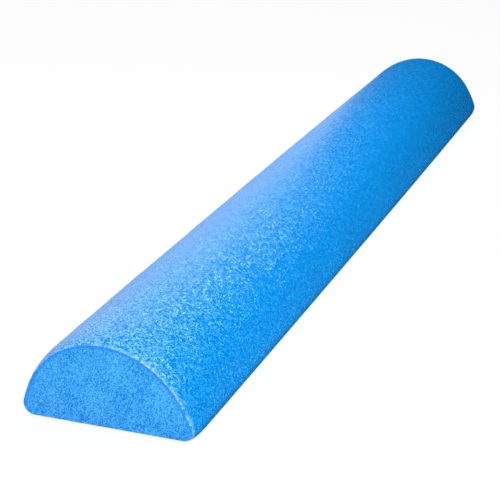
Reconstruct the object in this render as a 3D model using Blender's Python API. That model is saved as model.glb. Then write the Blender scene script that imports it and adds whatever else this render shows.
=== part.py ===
"""Half round foam roller: one solid bar of closed-cell foam with a D-shaped section, cut to length.

The bar lies along X with its flat base on z = 0 and its dome up. The origin is the middle of the base.
Every length is in metres.
"""

import math

import bmesh
import bpy
from mathutils import Vector
from mathutils.geometry import intersect_sphere_sphere_2d

# Overall sizes, taken at mid-length where the bar is fullest
LENGTH = 0.9144
WIDTH = 0.1524
HEIGHT = 0.0762

# Round along the two long edges between the flat base and the dome
BASE_CORNER_RADIUS = 0.012

# The dome is a crown arc and, on each side, a flatter flank arc that runs into the base corner.
# The crown's radius is a share of the single arc that would reach both base corners by itself,
# and the flank's radius is a share of the crown's.
CROWN_RADIUS_SHARE = 0.975
FLANK_RADIUS_SHARE = 1.57

# Foam shrinks a little towards its cut ends: each side is fuller by this much at mid-length
MIDDLE_SWELL = 0.0015

# Close to each cut the skin draws in over this length, by this much where it meets the cut face
RIM_ROLL_LENGTH = 0.024
RIM_ROLL_DEPTH = 0.0035

# Facets of half the section, and of the bar along its length
CORNER_STEPS = 12
FLANK_STEPS = 3
CROWN_STEPS = 14
ROLL_STEPS = 6
SWELL_STEPS = 8

# Finish of the foam: linear colour of the blue skin, which is satin and not shiny
FOAM_COLOUR = (0.020, 0.270, 0.830, 1.0)
FOAM_ROUGHNESS = 0.6

SMOOTH_BELOW_DEGREES = 40


def clear_scene():
    """Removes every object, so the script gives the same scene from any starting file."""
    for obj in list(bpy.data.objects):
        bpy.data.objects.remove(obj, do_unlink=True)


def foam_material():
    material = bpy.data.materials.new("blue_polyethylene_foam")
    material.use_nodes = True
    shader = material.node_tree.nodes["Principled BSDF"]
    shader.inputs["Base Color"].default_value = FOAM_COLOUR
    shader.inputs["Roughness"].default_value = FOAM_ROUGHNESS
    shader.inputs["Metallic"].default_value = 0.0
    material.diffuse_color = FOAM_COLOUR
    return material


def arc(centre, radius, start, end, steps):
    """Points of an arc as (place, outward normal), from start up to but not including end."""
    points = []
    for step in range(steps):
        angle = start + (end - start) * step / steps
        normal = Vector((math.cos(angle), math.sin(angle)))
        points.append((centre + normal * radius, normal))
    return points


def direction(start, end):
    """Angle of the line from start to end."""
    return math.atan2(end.y - start.y, end.x - start.x)


def half_section():
    """One side of the D, from the end of the flat base round to the crown, as (place, normal) pairs.

    Base corner, flank and crown are three arcs, each tangent to the next. The flank's centre lies
    where both tangencies hold: its distance to a neighbour's centre is the difference of their radii.
    """
    corner_centre = Vector((WIDTH / 2 - BASE_CORNER_RADIUS, BASE_CORNER_RADIUS))
    rise = HEIGHT - 2 * BASE_CORNER_RADIUS
    single_arc_radius = (corner_centre.x ** 2 + HEIGHT * rise) / (2 * rise)
    crown_radius = CROWN_RADIUS_SHARE * single_arc_radius
    flank_radius = FLANK_RADIUS_SHARE * crown_radius
    crown_centre = Vector((0, HEIGHT - crown_radius))
    crossings = intersect_sphere_sphere_2d(
        corner_centre, flank_radius - BASE_CORNER_RADIUS, crown_centre, flank_radius - crown_radius
    )
    flank_centre = min(crossings, key=lambda point: point.y)

    base_angle = -math.pi / 2
    flank_angle = direction(flank_centre, corner_centre)
    crown_angle = direction(flank_centre, crown_centre)
    top_angle = math.pi / 2
    print(f"crown radius {crown_radius:.4f} m, flank radius {flank_radius:.4f} m, flank from "
          f"{math.degrees(flank_angle):.1f} to {math.degrees(crown_angle):.1f} degrees")
    points = arc(corner_centre, BASE_CORNER_RADIUS, base_angle, flank_angle, CORNER_STEPS)
    points += arc(flank_centre, flank_radius, flank_angle, crown_angle, FLANK_STEPS)
    points += arc(crown_centre, crown_radius, crown_angle, top_angle, CROWN_STEPS)
    return points


def whole_section():
    """The closed D, anticlockwise as seen from +X: right side, crown, then the left side mirrored."""
    right = half_section()
    crown = [(Vector((0, HEIGHT)), Vector((0, 1)))]
    left = [(Vector((-place.x, place.y)), Vector((-normal.x, normal.y))) for place, normal in reversed(right)]
    return right + crown + left


def stations():
    """Places along the bar: close together where the rims roll in, and wide apart between them."""
    body_end = LENGTH / 2 - RIM_ROLL_LENGTH
    roll = [
        body_end + RIM_ROLL_LENGTH * math.sin(math.pi / 2 * step / ROLL_STEPS)
        for step in range(1, ROLL_STEPS + 1)
    ]
    body = [body_end * (2 * step / SWELL_STEPS - 1) for step in range(SWELL_STEPS + 1)]
    return [-x for x in reversed(roll)] + body + roll


def ring(section, x):
    """The section at one station: shrunk towards the ends, then drawn in where the rim rolls."""
    toward_end = x / (LENGTH / 2)
    shrink = 1 - MIDDLE_SWELL / (WIDTH / 2) * toward_end ** 2
    into_roll = max(0, abs(x) - (LENGTH / 2 - RIM_ROLL_LENGTH)) / RIM_ROLL_LENGTH
    inset = RIM_ROLL_DEPTH * (1 - math.sqrt(max(0, 1 - into_roll ** 2)))
    points = [place * shrink - normal * inset for place, normal in section]
    return [Vector((x, point.x, point.y)) for point in points]


def foam_bar():
    """Lofts the section from cut face to cut face and closes both ends flat."""
    section = whole_section()
    bm = bmesh.new()
    loops = [[bm.verts.new(point) for point in ring(section, x)] for x in stations()]
    bm.faces.new(reversed(loops[0]))
    bm.faces.new(loops[-1])
    for near, far in zip(loops, loops[1:]):
        for index in range(len(section)):
            following = (index + 1) % len(section)
            bm.faces.new((near[index], near[following], far[following], far[index]))
    bm.normal_update()
    mesh = bpy.data.meshes.new("foam_bar")
    bm.to_mesh(mesh)
    bm.free()

    mesh.shade_smooth()
    mesh.set_sharp_from_angle(angle=math.radians(SMOOTH_BELOW_DEGREES))
    mesh.materials.append(foam_material())
    bar = bpy.data.objects.new("foam_bar", mesh)
    bpy.context.scene.collection.objects.link(bar)
    return bar


def main():
    clear_scene()
    bar = foam_bar()
    size = [max(v.co[axis] for v in bar.data.vertices) - min(v.co[axis] for v in bar.data.vertices)
            for axis in range(3)]
    print("foam_bar", [round(side, 4) for side in size], "m,", len(bar.data.polygons), "faces")


main()
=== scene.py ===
# %% [markdown]
# # Half round foam roller
#
# The object is one bar of closed-cell polyethylene foam with a D-shaped section, used flat side down
# or dome down for balance and stretching exercises. It has no cover, core or cap, so it is one piece
# here too. What makes it look real is its surface: a pebbled skin on the dome and base, and the finer
# grain of the foam where the bar was cut to length.
#
# This first cell loads the measured model of the bar. Its box gives the lengths that the rest uses.

# %% Load the measured bar
import math

import bpy
from mathutils import Matrix, Vector
from mathutils.geometry import intersect_sphere_sphere_2d


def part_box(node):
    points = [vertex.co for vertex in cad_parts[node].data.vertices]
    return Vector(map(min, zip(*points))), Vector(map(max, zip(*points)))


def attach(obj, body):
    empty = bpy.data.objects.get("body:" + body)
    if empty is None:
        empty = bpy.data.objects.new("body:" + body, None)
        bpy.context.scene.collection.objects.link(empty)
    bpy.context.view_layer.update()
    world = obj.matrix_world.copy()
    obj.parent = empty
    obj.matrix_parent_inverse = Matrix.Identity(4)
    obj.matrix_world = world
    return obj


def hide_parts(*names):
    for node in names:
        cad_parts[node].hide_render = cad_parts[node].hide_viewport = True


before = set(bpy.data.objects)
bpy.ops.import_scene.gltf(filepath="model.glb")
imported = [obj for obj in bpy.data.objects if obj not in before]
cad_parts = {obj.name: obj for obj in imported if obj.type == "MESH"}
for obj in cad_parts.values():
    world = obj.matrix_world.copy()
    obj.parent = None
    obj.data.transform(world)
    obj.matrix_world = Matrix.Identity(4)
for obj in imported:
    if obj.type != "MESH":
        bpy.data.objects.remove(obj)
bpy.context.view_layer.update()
low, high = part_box("foam_bar")
LENGTH, WIDTH, HEIGHT = high - low
half_length = LENGTH / 2
print(f"the bar is {LENGTH * 1000:.1f} x {WIDTH * 1000:.1f} x {HEIGHT * 1000:.1f} mm")

# %% [markdown]
# ## The camera
#
# The bar is seen from its near end, a little above it and to one side. A camera is a place, a
# direction and a lens. These were worked out from the bar's known size and from where its outline
# lies in the picture. Azimuth turns the camera round the bar, elevation lifts it, and roll tilts it
# about its own axis.

# %% Camera
CAMERA_AZIMUTH = math.radians(-67.296)
CAMERA_ELEVATION = math.radians(21.844)
CAMERA_ROLL = math.radians(-2.055)
CAMERA_DISTANCE = 1.3794
CAMERA_AIM_RIGHT = -0.0632
CAMERA_AIM_UP = -0.0236
FOCAL_PIXELS = 1303.9
PICTURE_PIXELS = 500
SENSOR_MM = 36

back = Vector((
    math.sin(CAMERA_AZIMUTH) * math.cos(CAMERA_ELEVATION),
    -math.cos(CAMERA_AZIMUTH) * math.cos(CAMERA_ELEVATION),
    math.sin(CAMERA_ELEVATION),
))
level_right = Vector((math.cos(CAMERA_AZIMUTH), math.sin(CAMERA_AZIMUTH), 0))
level_up = back.cross(level_right)
right = level_right * math.cos(CAMERA_ROLL) + level_up * math.sin(CAMERA_ROLL)
up = level_up * math.cos(CAMERA_ROLL) - level_right * math.sin(CAMERA_ROLL)
aim = level_right * CAMERA_AIM_RIGHT + level_up * CAMERA_AIM_UP

lens = bpy.data.cameras.new("camera")
lens.sensor_width = SENSOR_MM
lens.lens = SENSOR_MM * FOCAL_PIXELS / PICTURE_PIXELS
camera = bpy.data.objects.new("camera", lens)
bpy.context.scene.collection.objects.link(camera)
turn = Matrix((right, up, back)).transposed().to_4x4()
camera.matrix_world = Matrix.Translation(aim + back * CAMERA_DISTANCE) @ turn
bpy.context.scene.camera = camera
print(f"lens {lens.lens:.1f} mm, camera at {tuple(round(c, 3) for c in camera.location)}")

# %% [markdown]
# ## The section of the bar
#
# Cut across, the bar is a D: a flat base, a small round along each long edge, a flatter flank above
# it, and a crown that spans a third of a circle. Each arc runs into the next without a corner, which
# is what the die that shapes the foam gives. The corner and the crown are known, and the flank's
# centre is then fixed, because it lies where both meetings are smooth.

# %% Arcs of the section
BASE_CORNER_RADIUS = 0.012
CROWN_RADIUS_SHARE = 0.975
FLANK_RADIUS_SHARE = 1.57
CORNER_STEPS = 12
FLANK_STEPS = 14
CROWN_STEPS = 44

corner_centre = Vector((WIDTH / 2 - BASE_CORNER_RADIUS, BASE_CORNER_RADIUS))
rise = HEIGHT - 2 * BASE_CORNER_RADIUS
single_arc_radius = (corner_centre.x ** 2 + HEIGHT * rise) / (2 * rise)
crown_radius = CROWN_RADIUS_SHARE * single_arc_radius
flank_radius = FLANK_RADIUS_SHARE * crown_radius
crown_centre = Vector((0, HEIGHT - crown_radius))
crossings = intersect_sphere_sphere_2d(
    corner_centre, flank_radius - BASE_CORNER_RADIUS, crown_centre, flank_radius - crown_radius
)
flank_centre = min(crossings, key=lambda point: point.y)


def direction(start, end):
    """Angle of the line from start to end."""
    return math.atan2(end.y - start.y, end.x - start.x)


flank_angle = direction(flank_centre, corner_centre)
crown_angle = direction(flank_centre, crown_centre)
arcs = [
    (corner_centre, flank_angle + math.pi / 2, CORNER_STEPS),
    (flank_centre, crown_angle - flank_angle, FLANK_STEPS),
    (crown_centre, math.pi / 2 - crown_angle, CROWN_STEPS),
]
print(f"crown radius {crown_radius * 1000:.1f} mm, flank radius {flank_radius * 1000:.1f} mm")

# %% [markdown]
# ## The first length of bar
#
# The bar could be a cylinder cut in half, but its section isn't a plain circle. So a flat strip of
# the base is made first, at mid-length where the bar is fullest. Each long edge is then swept round
# the three arcs with Spin until both meet at the crown, and the two open ends are closed with a face.

# %% Sweep the section
BODY_SEGMENTS = 8
RIM_ROLL_LENGTH = 0.024
BASE_COLUMNS = 16
TOUCHING = 0.00001

body_end = half_length - RIM_ROLL_LENGTH
segment = 2 * body_end / BODY_SEGMENTS


def pick(bar, mode, test):
    """Selects the edges or faces whose corners all pass a test of their place, and nothing else."""
    bpy.ops.object.mode_set(mode="EDIT")
    bpy.ops.mesh.select_mode(type=mode)
    bpy.ops.mesh.select_all(action="DESELECT")
    bpy.ops.object.mode_set(mode="OBJECT")
    places = [vertex.co for vertex in bar.data.vertices]
    for part in {"EDGE": bar.data.edges, "FACE": bar.data.polygons}[mode]:
        part.select = all(test(places[corner]) for corner in part.vertices)
    bpy.ops.object.mode_set(mode="EDIT")


bpy.ops.object.select_all(action="DESELECT")
bpy.ops.mesh.primitive_grid_add(
    x_subdivisions=1, y_subdivisions=BASE_COLUMNS, size=1, location=(segment / 2, 0, 0)
)
bar = bpy.context.object
bar.name = bar.data.name = "half_round_foam_bar"
bpy.ops.object.mode_set(mode="EDIT")
bpy.ops.mesh.select_all(action="SELECT")
bpy.ops.transform.resize(value=(segment, corner_centre.x * 2, 1))
bpy.ops.object.mode_set(mode="OBJECT")
bpy.ops.object.transform_apply(location=True, rotation=True, scale=True)
for side in (1, -1):
    pick(bar, "EDGE", lambda place: side * place.y > corner_centre.x - TOUCHING)
    for centre, sweep, steps in arcs:
        bpy.ops.mesh.spin(
            steps=steps, angle=-side * sweep, center=(0, side * centre.x, centre.y), axis=(1, 0, 0)
        )
bpy.ops.mesh.select_all(action="SELECT")
bpy.ops.mesh.remove_doubles(threshold=TOUCHING)
for end in (0, segment):
    pick(bar, "EDGE", lambda place: abs(place.x - end) < TOUCHING)
    bpy.ops.mesh.edge_face_add()
bpy.ops.mesh.select_all(action="SELECT")
bpy.ops.mesh.normals_make_consistent(inside=False)
bpy.ops.object.mode_set(mode="OBJECT")
print("first length:", len(bar.data.vertices), "vertices, size", [round(s, 4) for s in bar.dimensions])

# %% [markdown]
# ## The whole length and its rims
#
# Each end face is extruded along the bar, station by station, and drawn in a little each time,
# because foam shrinks more near its cut ends. Close to the cut the skin rolls in faster. That roll is
# made with Inset, which moves an outline inwards by the same amount all round: each inset also steps
# outwards, so the steps together follow a quarter of a long ellipse.

# %% Extrude and roll the ends
MIDDLE_SWELL = 0.0015
RIM_ROLL_DEPTH = 0.0035
ROLL_STEPS = 14


def swell_at(x):
    """Size of the section at a station, as a share of its size at mid-length."""
    return 1 - MIDDLE_SWELL / (WIDTH / 2) * (x / half_length) ** 2


def roll_at(step):
    """How far out along the bar, and how far in from its surface, the rolled rim is at a step."""
    angle = math.pi / 2 * step / ROLL_STEPS
    return RIM_ROLL_LENGTH * math.sin(angle), RIM_ROLL_DEPTH * (1 - math.cos(angle))


for start, way in ((segment, 1), (0, -1)):
    pick(bar, "FACE", lambda place: abs(place.x - start) < TOUCHING)
    x = start
    share = swell_at(start)
    bpy.ops.transform.resize(value=(1, share, share), center_override=(x, 0, 0))
    while abs(x) < body_end - TOUCHING:
        x += way * segment
        bpy.ops.mesh.extrude_region_move(TRANSFORM_OT_translate={"value": (way * segment, 0, 0)})
        ratio = swell_at(x) / share
        bpy.ops.transform.resize(value=(1, ratio, ratio), center_override=(x, 0, 0))
        share = swell_at(x)
    for step in range(ROLL_STEPS):
        out_before, in_before = roll_at(step)
        out_after, in_after = roll_at(step + 1)
        bpy.ops.mesh.inset(
            thickness=in_after - in_before, depth=out_after - out_before, use_even_offset=True
        )
bpy.ops.object.mode_set(mode="OBJECT")
print("whole bar:", len(bar.data.vertices), "vertices, size", [round(s, 4) for s in bar.dimensions])

# %% [markdown]
# ## The cut faces
#
# A saw or hot wire leaves the end flat. The skin is denser than the foam inside it, and shows as a
# thin darker line just inside the rim. A few more insets, with no depth, give rings at known
# distances from the rim. Each ring keeps its distance as an attribute for the material to read.

# %% Rings on the cut faces
RING_DEPTHS = (0.0006, 0.0014, 0.0024, 0.0040, 0.0070)

bar.data.attributes.new("rim_depth", "FLOAT", "POINT")
for way in (1, -1):
    pick(bar, "FACE", lambda place: way * place.x > half_length - TOUCHING)
    before = 0
    for depth in RING_DEPTHS:
        bpy.ops.mesh.inset(thickness=depth - before, depth=0, use_even_offset=True)
        before = depth
        bpy.ops.object.mode_set(mode="OBJECT")
        kept = bar.data.attributes["rim_depth"].data
        for vertex in bar.data.vertices:
            if vertex.select:
                kept[vertex.index].value = depth
        bpy.ops.object.mode_set(mode="EDIT")
bpy.ops.object.mode_set(mode="OBJECT")
print("with rings:", len(bar.data.vertices), "vertices")

# %% [markdown]
# ## Finer stations
#
# The faces along the bar are still as long as its stations are apart, and a surface can only be uneven
# where it has points to move. So the long edges, and no others, are divided into short ones. The cut
# faces and the rims keep the faces they have.

# %% Finer stations along the bar
FINE_STEP = 0.0018

cuts = round(segment / FINE_STEP) - 1
bpy.ops.object.mode_set(mode="EDIT")
bpy.ops.mesh.select_mode(type="EDGE")
bpy.ops.mesh.select_all(action="DESELECT")
bpy.ops.object.mode_set(mode="OBJECT")
for edge in bar.data.edges:
    a, b = (bar.data.vertices[index].co for index in edge.vertices)
    edge.select = abs(a.x - b.x) > segment / 2
bpy.ops.object.mode_set(mode="EDIT")
bpy.ops.mesh.subdivide(number_cuts=cuts)
bpy.ops.object.mode_set(mode="OBJECT")
bar.data.calc_loop_triangles()
print("fine bar:", len(bar.data.polygons), "faces,", len(bar.data.loop_triangles), "triangles")

# %% [markdown]
# ## Gentle unevenness
#
# Foam sets while it is soft, so its dome is never quite true: it has long shallow waves, and shorter
# ones a centimetre apart that break up a reflection. Two Displace modifiers move the surface by parts
# of a millimetre, each after a cloud pattern of its own size. A vertex group fades them out towards
# the flat base and the rims, so the bar still lies flat and its cut faces keep their outline.

# %% Gentle unevenness
UNEVEN_ABOVE = 0.004
UNEVEN_FULL = 0.020
WAVES = (("long_waves", 0.045, 0.0005), ("short_waves", 0.011, 0.0003))

uneven = bar.vertex_groups.new(name="uneven")
for vertex in bar.data.vertices:
    from_base = (vertex.co.z - UNEVEN_ABOVE) / (UNEVEN_FULL - UNEVEN_ABOVE)
    from_rim = (half_length - abs(vertex.co.x)) / RIM_ROLL_LENGTH
    weight = min(1, max(0, from_base)) * min(1, max(0, from_rim))
    uneven.add([vertex.index], weight, "REPLACE")
for name, size, height in WAVES:
    waves = bpy.data.textures.new(name, "CLOUDS")
    waves.noise_scale = size
    waves.noise_depth = 1
    displace = bar.modifiers.new(name, "DISPLACE")
    displace.texture = waves
    displace.texture_coords = "LOCAL"
    displace.vertex_group = "uneven"
    displace.strength = height
    displace.mid_level = 0.5
    bpy.ops.object.modifier_apply(modifier=name)
print("uneven bar: size", [round(s * 1000, 2) for s in bar.dimensions], "mm")

# %% [markdown]
# ## Cut faces and the flat map
#
# Each face of the mesh learns which finish it has: skin, or cut foam where it looks straight along the
# bar. Shading is smooth except at real corners. The flat map is for programs that read pictures and
# not nodes. It lays the surface out in a square without overlaps: the dome in two halves, unrolled as
# if peeled off, then the two cut faces, and the base, made smaller so that it fits.

# %% Cut faces and smooth shading
SHARP_ANGLE = math.radians(30)
LOOKS_ALONG = 0.999

for polygon in bar.data.polygons:
    polygon.material_index = int(abs(polygon.normal.x) > LOOKS_ALONG)
bpy.ops.object.select_all(action="DESELECT")
bar.select_set(True)
bpy.ops.object.shade_smooth_by_angle(angle=SHARP_ANGLE)
print("faces on the two cuts:", sum(polygon.material_index for polygon in bar.data.polygons))

# %% Flat map
MAP_GAP = 0.003
BASE_SHARE = 0.62
BASE_BELOW = RIM_ROLL_DEPTH + 0.001
BASE_WITHIN = corner_centre.x - 0.002

corner_length = BASE_CORNER_RADIUS * (flank_angle + math.pi / 2)
corner_top = corner_centre + BASE_CORNER_RADIUS * Vector((math.cos(flank_angle), math.sin(flank_angle)))
corner_turn = math.atan2(corner_top.x, corner_top.y - crown_centre.y)
half_girth = corner_length + crown_radius * corner_turn
map_side = 4 * half_girth + HEIGHT + 4 * MAP_GAP


def along_surface(x):
    """Distance from mid-length to a station, measured over the rolled rim."""
    into_roll = min(1, max(0, abs(x) - body_end) / RIM_ROLL_LENGTH)
    drawn_in = RIM_ROLL_DEPTH * (1 - math.sqrt(1 - into_roll ** 2))
    return math.copysign(abs(x) + drawn_in, x)


def round_surface(place):
    """Distance round the section from the crown to a point, positive on the left."""
    y, z = abs(place.y) / swell_at(place.x), place.z / swell_at(place.x)
    if z < corner_top.y:
        angle = math.atan2(z - corner_centre.y, y - corner_centre.x)
        distance = half_girth - BASE_CORNER_RADIUS * (angle + math.pi / 2)
    else:
        distance = crown_radius * math.atan2(y, z - crown_centre.y)
    return math.copysign(distance, place.y)


def map_place(place, kind, far):
    """Where a corner of a face lies on the flat map, in metres."""
    far_shift = 1 if far else 0
    if kind == "cut":
        return (
            3 * MAP_GAP + 4 * half_girth + place.z,
            MAP_GAP + WIDTH / 2 + place.y + far_shift * (WIDTH + MAP_GAP),
        )
    if kind == "base":
        reach = along_surface(half_length)
        return (
            MAP_GAP + (along_surface(place.x) + reach) * BASE_SHARE,
            2 * MAP_GAP + reach + (place.y + WIDTH / 2) * BASE_SHARE,
        )
    return (
        MAP_GAP + half_girth + round_surface(place) + far_shift * (2 * half_girth + MAP_GAP),
        MAP_GAP + abs(along_surface(place.x)),
    )


flat_map = bar.data.uv_layers.new(name="OFBake")
for polygon in bar.data.polygons:
    middle = polygon.center
    kind = "dome"
    if polygon.material_index == 1:
        kind = "cut"
    elif middle.z < BASE_BELOW and abs(middle.y) < BASE_WITHIN:
        kind = "base"
    for loop in polygon.loop_indices:
        place = bar.data.vertices[bar.data.loops[loop].vertex_index].co
        across, upwards = map_place(place, kind, middle.x > 0)
        flat_map.data[loop].uv = (across / map_side, upwards / map_side)
spread = [[corner.uv[axis] for corner in flat_map.data] for axis in (0, 1)]
print(f"flat map {map_side * 1000:.0f} mm wide, u to {max(spread[0]):.3f}, v to {max(spread[1]):.3f}")

# %% [markdown]
# ## Tools for the materials
#
# Colours are written as they would be picked on a screen and turned into the linear values that
# Blender's shaders work in. Every node is added by one small function that also sets and links it, so
# a material reads from top to bottom like a recipe. The steps that come often have a name of their own:
# a ramp, which takes a value from one range to another and stops at its ends, a combination of two
# values, a blend of two colours, and cells that each lean their own way, which give both finishes of
# the foam their grain.

# %% Colour and node helpers
FOAM_IOR = 1.5


def to_linear(hex_colour):
    """An sRGB colour such as 3fa4f2 as linear red, green, blue and alpha."""
    channels = [int(hex_colour[i:i + 2], 16) / 255 for i in (0, 2, 4)]
    linear = [c / 12.92 if c <= 0.04045 else ((c + 0.055) / 1.055) ** 2.4 for c in channels]
    return (*linear, 1)


def add_node(tree, kind, inputs=None, **settings):
    """Adds a node. Settings are its own properties, and inputs gives a socket a value or an output."""
    node = tree.nodes.new(kind)
    for name, value in settings.items():
        setattr(node, name, value)
    for socket, value in (inputs or {}).items():
        if isinstance(value, bpy.types.NodeSocket):
            tree.links.new(value, node.inputs[socket])
        else:
            node.inputs[socket].default_value = value
    return node


def ramp(tree, value, start, end, low=0.0, high=1.0, **settings):
    """The output of a ramp that is low where the value is start, and high where it is end."""
    return add_node(
        tree, "ShaderNodeMapRange",
        {"Value": value, "From Min": start, "From Max": end, "To Min": low, "To Max": high}, **settings,
    ).outputs[0]


def combine(tree, operation, first, second):
    """Two values combined by an operation such as MULTIPLY or MAXIMUM."""
    return add_node(tree, "ShaderNodeMath", {0: first, 1: second}, operation=operation).outputs[0]


def blend(tree, share, first, second):
    """The first colour where the share is nought, the second where it is one, and a mix between."""
    return add_node(tree, "ShaderNodeMix", {0: share, 6: first, 7: second}, data_type="RGBA").outputs[2]


def leaning_cells(tree, mm, cell_mm, lean):
    """Cells of a given width, and the surface direction with each cell leaning its own way."""
    cells = add_node(tree, "ShaderNodeTexVoronoi", {"Vector": mm, "Scale": 1 / cell_mm}).outputs
    aside = add_node(
        tree, "ShaderNodeVectorMath", {0: cells["Color"], 1: (0.5, 0.5, 0.5)}, operation="SUBTRACT"
    ).outputs[0]
    aside = add_node(tree, "ShaderNodeVectorMath", {0: aside, "Scale": lean}, operation="SCALE").outputs[0]
    surface = add_node(tree, "ShaderNodeNewGeometry").outputs["Normal"]
    leaning = add_node(tree, "ShaderNodeVectorMath", {0: surface, 1: aside}, operation="ADD").outputs[0]
    return cells, add_node(tree, "ShaderNodeVectorMath", {0: leaning}, operation="NORMALIZE").outputs[0]


def start_material(name):
    """A new material with an empty node tree."""
    material = bpy.data.materials.new(name)
    material.use_nodes = True
    material.node_tree.nodes.clear()
    return material, material.node_tree


def places_in_mm(tree):
    """Places on the piece in metres, and the same in millimetres."""
    place = add_node(tree, "ShaderNodeTexCoord").outputs["Object"]
    mm = add_node(tree, "ShaderNodeMapping", {"Vector": place, "Scale": (1000, 1000, 1000)}).outputs[0]
    return place, mm


print("sky blue 3fa4f2 in linear values:", [round(c, 3) for c in to_linear("3fa4f2")[:3]])

# %% [markdown]
# ## The skin
#
# Closed-cell polyethylene foam comes out of the die with a skin of burst and flattened bubbles. To the
# eye it is a finely pebbled surface: each pebble is about a millimetre wide and leans its own way, so
# it either catches the light as a pale speck or shows the deep blue of the foam. The pebbles are the
# cells of a Voronoi pattern in real millimetres. A cell's random colour gives its lean and its
# paleness, and the distance to its middle gives its rounded top. The colour is also painted darker
# from each top down into the pit round it, as painted shade.
#
# A waxy top mirrors the room, and the pit beside it doesn't. One shader with one strength of gloss
# can't show both, so a mask mixes a waxy shader and a matt one. The pits are matt, but less so where
# the view is low, because there the tops hide them. At the very edge of the view the tops hide each
# other too, and the surface turns matt again.

# %% Skin of the foam
PEBBLE_MM = 1.1
PEBBLE_LEAN = 0.65
PEBBLE_HEIGHT = 0.00005
PEBBLE_EDGE = 0.75
PEBBLE_FLAT_TOP = 0.1
CLUMP_MM = 5.0
# Share of the paleness that follows each pebble's rounded top: painted shade that darkens the pit round it
PAINTED_PIT_SHADE_SHARE = 0.4
CLUMP_SHARE = 0.14
PALE_RANGE = (0.25, 0.75)
SKIN_PIT = "0070bc"
SKIN_TOP = "0098ea"
SKIN_SHINY = 0.2
SKIN_DULL = 0.3
SKIN_SPECULAR = 0.8
PIT_ROUGHNESS = 0.9
PIT_PALER_THAN = 0.48
PIT_DARKER_THAN = 0.38
PITS_APPEAR = (0.75, 0.45)
PITS_IN_LOW_VIEW = 0.2
EDGE_OF_VIEW = (0.65, 1.0)
MATT_AT_EDGE = 0.5
# Painted highlight: a pale broken line painted on the rolled rim just before each cut
SKIN_RIM_HIGHLIGHT = "a9d4fb"
RIM_HIGHLIGHT_STARTS = half_length - 0.0030
RIM_HIGHLIGHT_FULL = half_length - 0.0004
RIM_HIGHLIGHT_CLUMPS = (0.35, 0.6)
MOST_RIM_HIGHLIGHT = 0.4


def skin_material():
    # Polyethylene foam, extruded: saturated blue, its waxy gloss broken up by dull pits
    material, tree = start_material("polyethylene_foam_extruded_skin")
    place, mm = places_in_mm(tree)
    clumps = add_node(
        tree, "ShaderNodeTexNoise", {"Vector": mm, "Scale": 1 / CLUMP_MM, "Detail": 2.0, "Roughness": 0.7}
    ).outputs[0]

    # Each pebble leans its own way, and its top is rounded
    pebbles, leaning = leaning_cells(tree, mm, PEBBLE_MM, PEBBLE_LEAN)
    top = ramp(
        tree, pebbles["Distance"], PEBBLE_EDGE, PEBBLE_FLAT_TOP, interpolation_type="SMOOTHSTEP"
    )
    bump = add_node(
        tree, "ShaderNodeBump", {"Height": top, "Distance": PEBBLE_HEIGHT, "Normal": leaning}
    ).outputs[0]

    # Paleness: the pebble's own random tone, slow clumps, and painted shade that darkens the pit round its
    # top
    chance = add_node(tree, "ShaderNodeSeparateColor", {0: pebbles["Color"]}).outputs[2]
    pale = add_node(tree, "ShaderNodeMix", {0: PAINTED_PIT_SHADE_SHARE, 2: chance, 3: top}).outputs[0]
    pale = add_node(tree, "ShaderNodeMix", {0: CLUMP_SHARE, 2: pale, 3: clumps}).outputs[0]
    pale = ramp(tree, pale, *PALE_RANGE)
    colour = blend(tree, pale, to_linear(SKIN_PIT), to_linear(SKIN_TOP))

    # Some tops are smoother than others
    gloss = ramp(tree, chance, 1.0, 0.0, SKIN_SHINY, SKIN_DULL)

    # Painted highlight: the last three millimetres before a cut are painted pale, in a broken line, where
    # the rolled rim catches the light
    along = add_node(tree, "ShaderNodeSeparateXYZ", {0: place}).outputs[0]
    along = add_node(tree, "ShaderNodeMath", {0: along}, operation="ABSOLUTE").outputs[0]
    rim = ramp(tree, along, RIM_HIGHLIGHT_STARTS, RIM_HIGHLIGHT_FULL)
    broken_highlight = ramp(tree, clumps, *RIM_HIGHLIGHT_CLUMPS, high=MOST_RIM_HIGHLIGHT)
    rim_highlight = combine(tree, "MULTIPLY", rim, broken_highlight)
    colour = blend(tree, rim_highlight, colour, to_linear(SKIN_RIM_HIGHLIGHT))

    # Matt in the pits, as far as the view lets them show, and at the edge of the view
    low_view = add_node(tree, "ShaderNodeLayerWeight", {"Blend": 0.5}).outputs["Facing"]
    pit = ramp(tree, pale, PIT_PALER_THAN, PIT_DARKER_THAN)
    shown = ramp(tree, low_view, *PITS_APPEAR, low=PITS_IN_LOW_VIEW)
    edge = ramp(tree, low_view, *EDGE_OF_VIEW, high=MATT_AT_EDGE)
    matt_share = combine(tree, "MAXIMUM", combine(tree, "MULTIPLY", pit, shown), edge)

    waxy = add_node(tree, "ShaderNodeBsdfPrincipled", {
        "Base Color": colour, "Roughness": gloss, "IOR": FOAM_IOR, "Specular IOR Level": SKIN_SPECULAR,
        "Normal": bump,
    })
    matt = add_node(tree, "ShaderNodeBsdfPrincipled", {
        "Base Color": colour, "Roughness": PIT_ROUGHNESS, "IOR": FOAM_IOR, "Specular IOR Level": 0.0,
        "Normal": bump,
    })
    mixed = add_node(
        tree, "ShaderNodeMixShader",
        {0: matt_share, 1: waxy.outputs["BSDF"], 2: matt.outputs["BSDF"]},
    )
    add_node(tree, "ShaderNodeOutputMaterial", {"Surface": mixed.outputs[0]})
    return material


skin = skin_material()
bar.data.materials.append(skin)
print(f"skin pebbles {PEBBLE_MM} mm wide,", len(skin.node_tree.nodes), "nodes")

# %% [markdown]
# ## The cut foam
#
# Where the bar was cut, the bubbles themselves are open. They are a little finer than the skin's
# pebbles and lack its waxy gloss, so the face is a matt, even blue with soft patches where the foam is
# denser. The skin, seen from its edge, is a thin darker line that follows the rim of the dome. Along
# the base the skin is thinner, and the line fades out.

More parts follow.
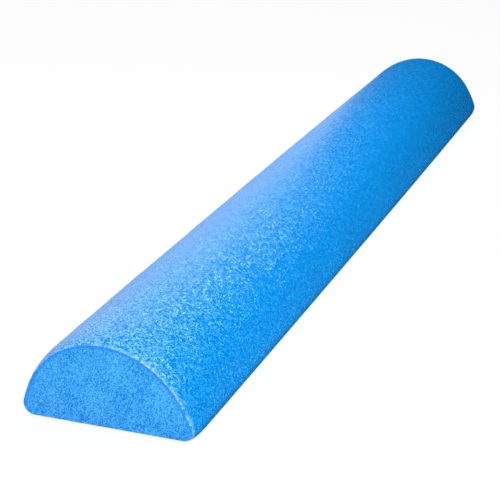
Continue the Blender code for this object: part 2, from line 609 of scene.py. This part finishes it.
# %% Cut face of the foam
CELL_MM = 0.9
CELL_LEAN = 0.8
CELL_RANGE = (0.25, 0.75)
PATCH_MM = 20.0
PATCH_RANGE = (0.3, 0.7)
PATCH_SHARE = 0.3
CUT_PIT = "0078d0"
CUT_TOP = "4aaaec"
CUT_ROUGHNESS = 0.6
CUT_SPECULAR = 0.1
CUT_SKIN_LINE = "0a7ce6"
LINE_FULL_DEPTH = 0.0010
LINE_GONE_DEPTH = 0.0034
LINE_PATCHES = (0.25, 0.65)
FAINTEST_LINE = 0.3
LINE_ABOVE_BASE = (0.004, 0.012)


def cut_material():
    # Polyethylene foam, cut: the open bubbles scatter light, so it is paler and hardly glossy
    material, tree = start_material("polyethylene_foam_cut_face")
    place, mm = places_in_mm(tree)
    patches = add_node(
        tree, "ShaderNodeTexNoise", {"Vector": mm, "Scale": 1 / PATCH_MM, "Detail": 2.0}
    ).outputs[0]
    cells, leaning = leaning_cells(tree, mm, CELL_MM, CELL_LEAN)

    # Each bubble is pale or deep, more often than between the two, and slow patches shift them all
    chance = add_node(tree, "ShaderNodeSeparateColor", {0: cells["Color"]}).outputs[2]
    chance = ramp(tree, chance, *CELL_RANGE)
    soft = ramp(tree, patches, *PATCH_RANGE)
    pale = add_node(tree, "ShaderNodeMix", {0: PATCH_SHARE, 2: chance, 3: soft}).outputs[0]
    colour = blend(tree, pale, to_linear(CUT_PIT), to_linear(CUT_TOP))

    # The skin's edge: by distance from the rim, uneven in strength, and not along the base
    depth = add_node(tree, "ShaderNodeAttribute", attribute_name="rim_depth").outputs["Fac"]
    line = ramp(tree, depth, LINE_GONE_DEPTH, LINE_FULL_DEPTH)
    broken = ramp(tree, patches, *LINE_PATCHES, low=FAINTEST_LINE)
    height = add_node(tree, "ShaderNodeSeparateXYZ", {0: place}).outputs[2]
    above_base = ramp(tree, height, *LINE_ABOVE_BASE)
    line = combine(tree, "MULTIPLY", combine(tree, "MULTIPLY", line, broken), above_base)
    colour = blend(tree, line, colour, to_linear(CUT_SKIN_LINE))

    shader = add_node(tree, "ShaderNodeBsdfPrincipled", {
        "Base Color": colour, "Roughness": CUT_ROUGHNESS, "IOR": FOAM_IOR,
        "Specular IOR Level": CUT_SPECULAR, "Normal": leaning,
    })
    add_node(tree, "ShaderNodeOutputMaterial", {"Surface": shader.outputs["BSDF"]})
    return material


cut = cut_material()
bar.data.materials.append(cut)
print(f"cut cells {CELL_MM} mm wide,", len(cut.node_tree.nodes), "nodes")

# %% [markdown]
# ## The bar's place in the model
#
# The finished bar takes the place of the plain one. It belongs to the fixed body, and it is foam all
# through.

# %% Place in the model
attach(bar, "root")
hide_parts("foam_bar")
print("the bar replaces foam_bar")

# %% [markdown]
# ## Floor and surroundings
#
# The bar lies on white paper in a white studio. Both show as white to the camera and in reflections,
# through Light Path, but light the bar only a little. The paper keeps a small share of plain diffuse
# white, so the bar still has its soft shadow.

# %% Floor and world
PAPER_SIDE = 16
PAPER_DIFFUSE = (0.8, 0.8, 0.8, 1)
PAPER_GLOW = 0.94
WHITE = (1, 1, 1, 1)
ROOM_LIGHT = 0.16


def background_rays(tree):
    """One for camera, glossy and transmission rays, which see the background, and nought for others."""
    rays = add_node(tree, "ShaderNodeLightPath").outputs
    seen = combine(tree, "MAXIMUM", rays["Is Camera Ray"], rays["Is Glossy Ray"])
    return combine(tree, "MAXIMUM", seen, rays["Is Transmission Ray"])


bpy.ops.object.select_all(action="DESELECT")
bpy.ops.mesh.primitive_plane_add(size=PAPER_SIDE, location=(0, 0, 0))
floor = bpy.context.object
floor.name = "studio_floor"
paper, tree = start_material("white_paper")
matt = add_node(tree, "ShaderNodeBsdfDiffuse", {"Color": PAPER_DIFFUSE})
glow = add_node(tree, "ShaderNodeEmission", {"Color": WHITE, "Strength": 1.0})
share = combine(tree, "MULTIPLY", background_rays(tree), PAPER_GLOW)
mixed = add_node(tree, "ShaderNodeMixShader", {0: share, 1: matt.outputs[0], 2: glow.outputs[0]})
add_node(tree, "ShaderNodeOutputMaterial", {"Surface": mixed.outputs[0]})
floor.data.materials.append(paper)

room = bpy.data.worlds.new("white_studio")
bpy.context.scene.world = room
room.use_nodes = True
tree = room.node_tree
tree.nodes.clear()
strength = ramp(tree, background_rays(tree), 0.0, 1.0, low=ROOM_LIGHT)
glow = add_node(tree, "ShaderNodeBackground", {"Color": WHITE, "Strength": strength})
add_node(tree, "ShaderNodeOutputWorld", {"Surface": glow.outputs[0]})
print("floor and room are white, room light", ROOM_LIGHT)

# %% [markdown]
# ## The lights
#
# A large softbox on the far left lights the crown, and the side towards the camera falls into deeper
# blue. Two small ones hang over the far half of the bar and shine back at the near end, so the pebbles
# there mirror them as a pale sheen. Four more light the cut face and both flanks, from where few
# pebbles mirror them to the camera.
#
# In a white room a waxy surface turns milky all over. So black cards, which photographers call flags,
# stand where the shaded flank and the far end would mirror the room: on the right, low beside the bar,
# beyond its far end and overhead. They show in reflections only.

# %% Softboxes and black cards
CARD_BLACK = (0.01, 0.01, 0.01, 1)


def softbox(name, place, size, power, target):
    """A rectangular area light that points at a target and isn't seen by the camera."""
    light = bpy.data.lights.new(name, "AREA")
    light.shape = "RECTANGLE"
    light.size, light.size_y = size
    light.energy = power
    lamp = bpy.data.objects.new(name, light)
    bpy.context.scene.collection.objects.link(lamp)
    lamp.location = place
    lamp.visible_camera = False
    lamp.rotation_euler = (Vector(target) - Vector(place)).to_track_quat("-Z", "Y").to_euler()


softbox("far_left", (0.84, 1.17, 1.71), (1.2, 1.2), 20, target=(-0.1, 0, 0))
softbox("crown_sheen", (0.3, 0.0, 0.8), (0.4, 0.35), 2.9, target=(-0.43, 0, 0))
softbox("flank_sheen", (0.2, -0.3, 0.5), (0.2, 0.2), 0.58, target=(-0.43, -0.05, 0.05))
softbox("over_right", (-0.2, -0.54, 0.98), (0.4, 0.4), 4.4, target=(-0.43, 0, 0))
softbox("left", (-0.3, 1.2, 0.8), (0.8, 0.8), 3, target=(-0.1, 0, 0))
softbox("near_right", (-0.8, -0.59, 0.8), (0.46, 0.46), 8.5, target=(-0.38, 0, 0))
softbox("front", (-1.9, 0.1, 0.4), (0.8, 0.6), 10.2, target=(-0.4, 0, 0))

black, tree = start_material("black_card")
matt = add_node(tree, "ShaderNodeBsdfDiffuse", {"Color": CARD_BLACK})
add_node(tree, "ShaderNodeOutputMaterial", {"Surface": matt.outputs[0]})


def black_card(name, place, size, turn):
    """A card that shows only in reflections, and neither lights nor shades the paper."""
    bpy.ops.object.select_all(action="DESELECT")
    bpy.ops.mesh.primitive_plane_add(size=1, location=place, rotation=turn)
    card = bpy.context.object
    card.name = name
    card.scale = (*size, 1)
    bpy.ops.object.transform_apply(location=True, rotation=True, scale=True)
    card.data.materials.append(black)
    card.visible_camera = False
    card.visible_diffuse = False
    card.visible_shadow = False


black_card("right_card", (1.675, -0.8, 0.585), (2.65, 1.17), (math.pi / 2, 0, 0))
black_card("low_card", (1.275, -0.433, 0.0005), (3.45, 0.734), (0, 0, 0))
black_card("far_card", (0.75, -0.275, 0.3), (0.6, 1.05), (0, math.pi / 2, 0))
black_card("top_card", (1.9, -1.15, 1.3), (2.6, 1.7), (0, 0, 0))
bpy.context.scene.view_settings.view_transform = "Standard"
